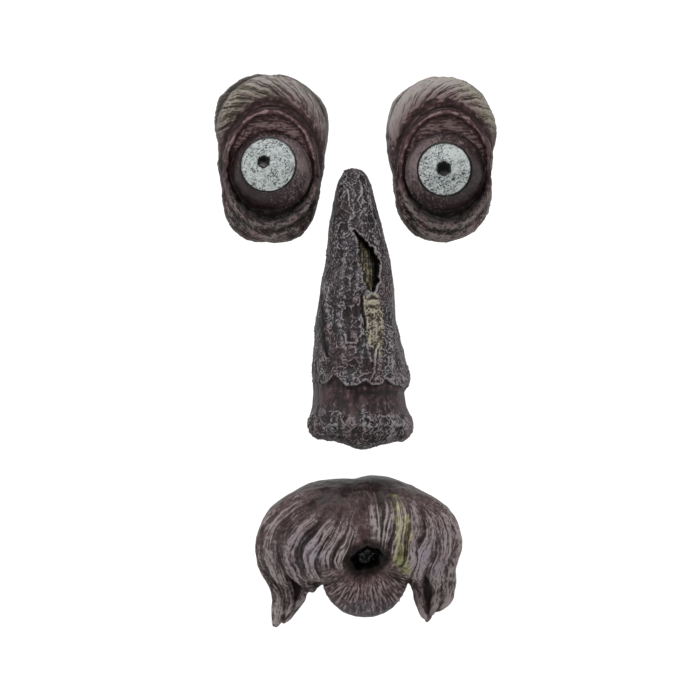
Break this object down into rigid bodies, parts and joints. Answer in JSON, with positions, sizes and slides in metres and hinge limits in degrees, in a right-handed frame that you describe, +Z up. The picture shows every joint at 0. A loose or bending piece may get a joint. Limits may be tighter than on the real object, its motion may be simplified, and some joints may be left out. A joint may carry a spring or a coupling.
{
  "type": "tree face sculpture",
  "caption": "Cast wall or tree face in separate pieces: bulging hooded eyes, a long bark-covered nose and a mouth under a swept moustache.",
  "frame": {"origin": "middle of the nose's flat back, which lies on the trunk", "axes": "+X to the right as the face is seen, +Y into the trunk, +Z up; the face looks along -Y and all flat backs lie in the plane Y = 0"},
  "size_m": [0.1823, 0.0497, 0.3549],
  "materials": {
    "eye_left": "stone-filled resin, dark brown wash, dry-brushed hair, gritty white iris, gloss black pupil",
    "eye_right": "stone-filled resin, dark brown wash, dry-brushed hair, gritty white iris, gloss black pupil",
    "nose": "stone-filled resin moulded as bark, charcoal wash with pale grey dry-brushed ridges",
    "mouth": "stone-filled resin, brown-grey wash, pale dry-brushed hair with moss-green streaks"
  },
  "bodies": {
    "root": {"eye_left": "eye_left", "eye_right": "eye_right", "nose": "nose", "mouth": "mouth"}
  },
  "joints": []
}
